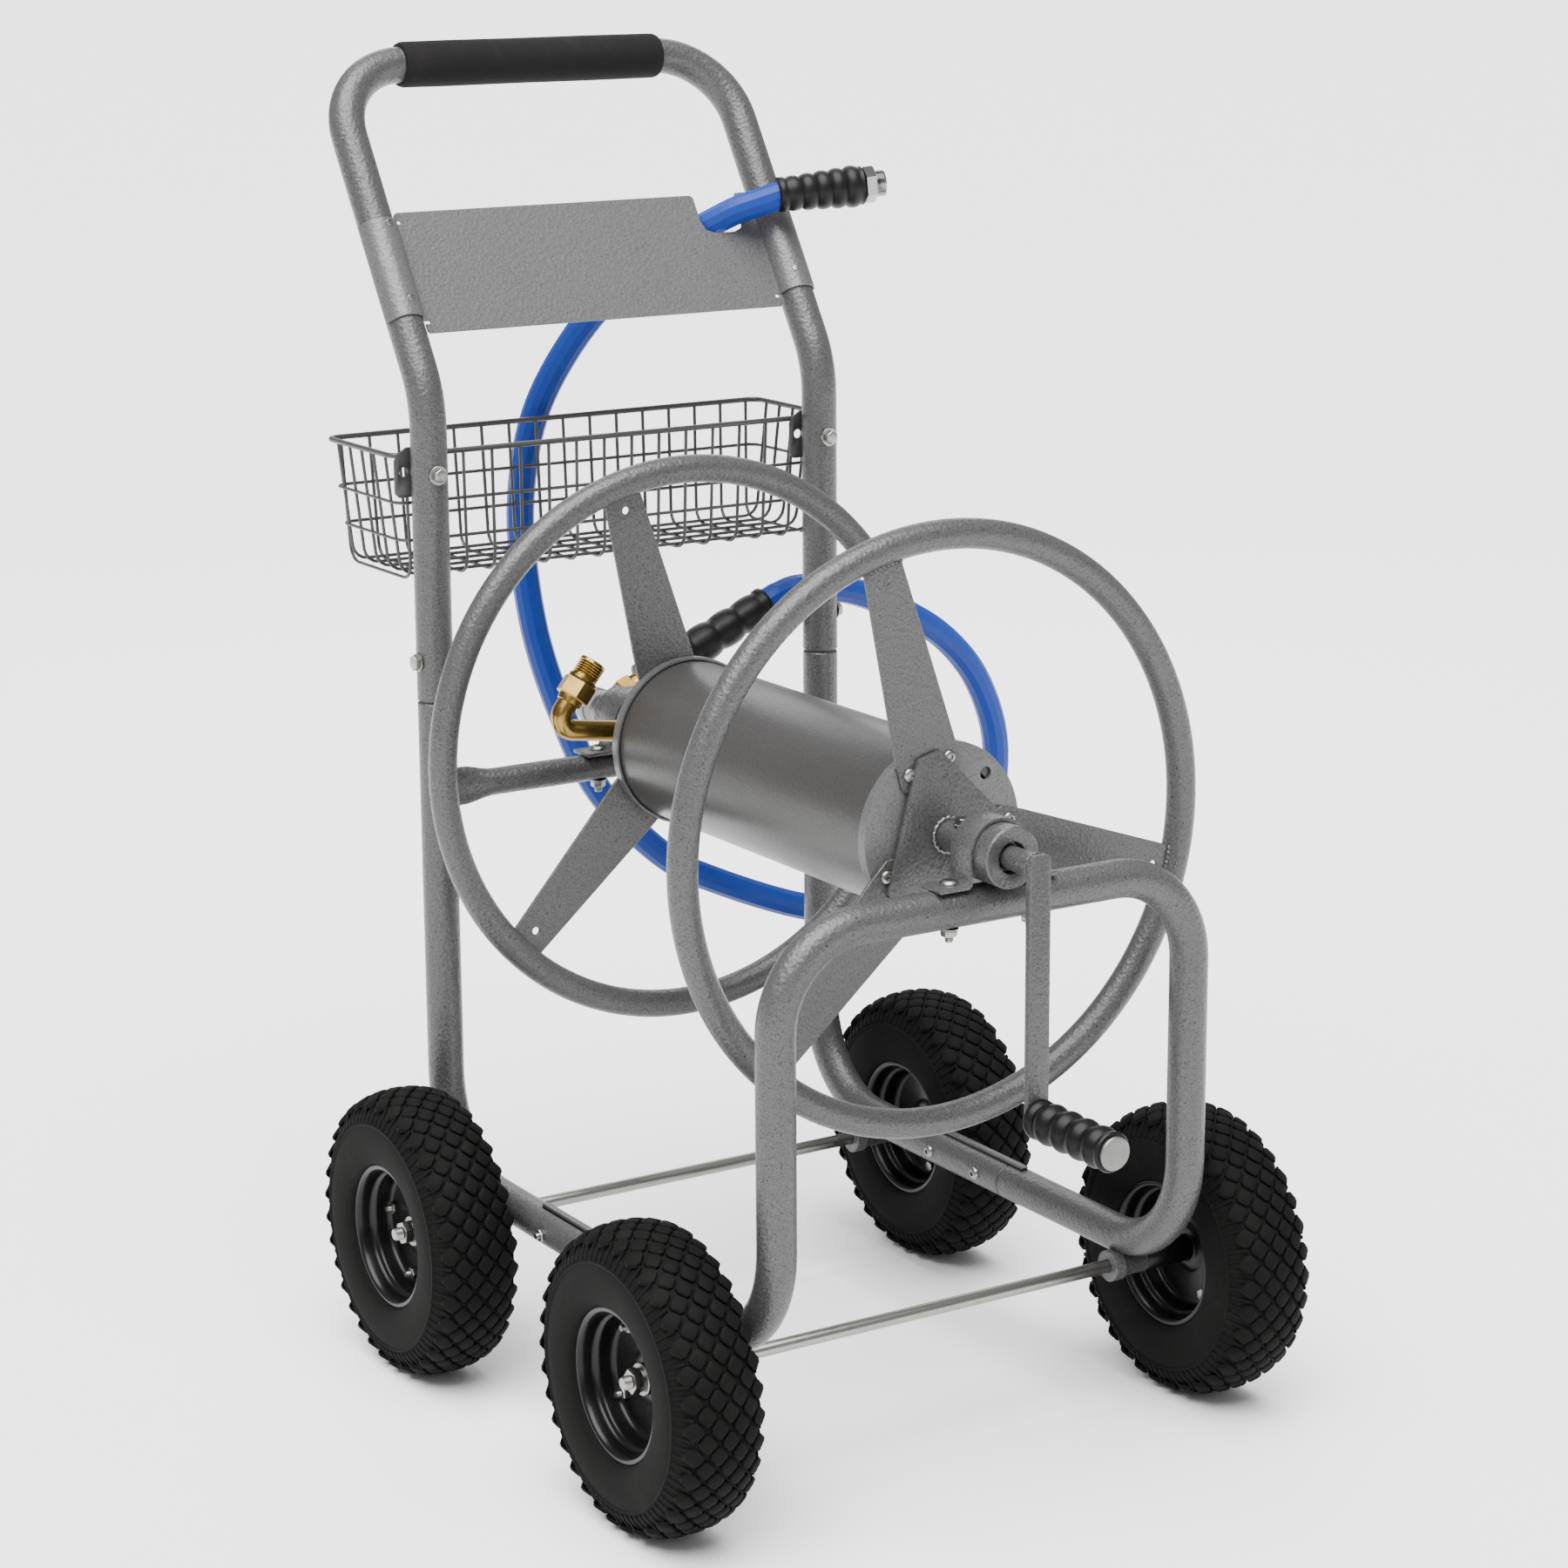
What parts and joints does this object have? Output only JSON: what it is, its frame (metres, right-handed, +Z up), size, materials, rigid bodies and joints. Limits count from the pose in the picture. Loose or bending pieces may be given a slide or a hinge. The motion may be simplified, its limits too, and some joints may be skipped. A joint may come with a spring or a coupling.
{
  "type": "garden hose reel cart",
  "caption": "Four-wheeled tube-frame garden hose reel cart with a crank-turned reel, foam push handle, rear wire basket, notched hose plate and a looped leader hose.",
  "frame": {"origin": "middle of the base of the cart's box, on the ground, without the leader hose", "axes": "+Z up, -Y towards the crank end, +X to the right of someone facing the crank from the front"},
  "size_m": [0.7974, 0.9508, 1.1715],
  "materials": {
    "hammered_grey": "hammered grey powder coat",
    "gloss_black": "gloss black paint",
    "wire_grey": "dark grey coated wire",
    "zinc": "zinc plated",
    "brass": "polished",
    "black_rubber": "satin",
    "foam": "matte foam",
    "tyre_black": "matte",
    "hose_blue": "glossy vivid blue"
  },
  "bodies": {
    "cart": {"handle_frame": "hammered_grey", "handle_grip": "foam", "hose_plate": "hammered_grey", "basket": "wire_grey", "basket_bolt_left": "zinc", "basket_bolt_right": "zinc", "rear_leg_left": "hammered_grey", "rear_leg_right": "hammered_grey", "rear_cross_tube": "hammered_grey", "front_frame": "hammered_grey", "leg_bolt_left": "zinc", "leg_bolt_right": "zinc", "axle_sleeve_front_left": "hammered_grey", "axle_sleeve_front_right": "hammered_grey", "axle_sleeve_rear_left": "hammered_grey", "axle_sleeve_rear_right": "hammered_grey", "front_axle": "zinc", "rear_axle": "zinc", "axle_nut_front_left": "zinc", "axle_nut_front_right": "zinc", "axle_nut_rear_left": "zinc", "axle_nut_rear_right": "zinc", "bearing_ring_front": "hammered_grey", "bearing_ring_rear": "hammered_grey", "bearing_strap_front": "hammered_grey", "bearing_strap_rear": "hammered_grey", "strap_bolt_front_left": "zinc", "strap_bolt_front_right": "zinc", "strap_bolt_rear_left": "zinc", "strap_bolt_rear_right": "zinc", "swivel_body": "zinc", "inlet_nut": "brass", "hose_sleeve_inlet": "black_rubber", "leader_hose": "hose_blue", "hose_sleeve_outlet": "black_rubber", "hose_fitting": "brass"},
    "reel": {"drum": "hammered_grey", "drum_plate_front": "hammered_grey", "drum_plate_rear": "hammered_grey", "reel_rim_front": "hammered_grey", "reel_rim_rear": "hammered_grey", "reel_hub_front": "hammered_grey", "reel_hub_rear": "hammered_grey", "stub_bolt": "zinc", "crank": "hammered_grey", "crank_pin": "zinc", "outlet_elbow": "brass"},
    "crank_grip": {"crank_grip": "black_rubber"},
    "wheel_front_left": {"tyre_front_left": "tyre_black", "rim_outer_front_left": "gloss_black", "rim_inner_front_left": "gloss_black"},
    "wheel_front_right": {"tyre_front_right": "tyre_black", "rim_outer_front_right": "gloss_black", "rim_inner_front_right": "gloss_black"},
    "wheel_rear_left": {"tyre_rear_left": "tyre_black", "rim_outer_rear_left": "gloss_black", "rim_inner_rear_left": "gloss_black"},
    "wheel_rear_right": {"tyre_rear_right": "tyre_black", "rim_outer_rear_right": "gloss_black", "rim_inner_rear_right": "gloss_black"}
  },
  "joints": [
    {"name": "front_left_wheel_spin", "type": "hinge", "parent": "cart", "child": "wheel_front_left", "pos_m": [-0.2784, -0.21925, 0.13], "axis": [1, 0, 0], "continuous": true},
    {"name": "front_right_wheel_spin", "type": "hinge", "parent": "cart", "child": "wheel_front_right", "pos_m": [0.2784, -0.21925, 0.13], "axis": [1, 0, 0], "continuous": true},
    {"name": "rear_left_wheel_spin", "type": "hinge", "parent": "cart", "child": "wheel_rear_left", "pos_m": [-0.2784, 0.19395, 0.13], "axis": [1, 0, 0], "continuous": true},
    {"name": "rear_right_wheel_spin", "type": "hinge", "parent": "cart", "child": "wheel_rear_right", "pos_m": [0.2784, 0.19395, 0.13], "axis": [1, 0, 0], "continuous": true},
    {"name": "reel_spin", "type": "hinge", "parent": "cart", "child": "reel", "pos_m": [0, -0.01265, 0.552], "axis": [0, 1, 0], "continuous": true},
    {"name": "crank_grip_spin", "type": "hinge", "parent": "reel", "child": "crank_grip", "pos_m": [0, -0.42115, 0.343], "axis": [0, 1, 0], "continuous": true}
  ]
}
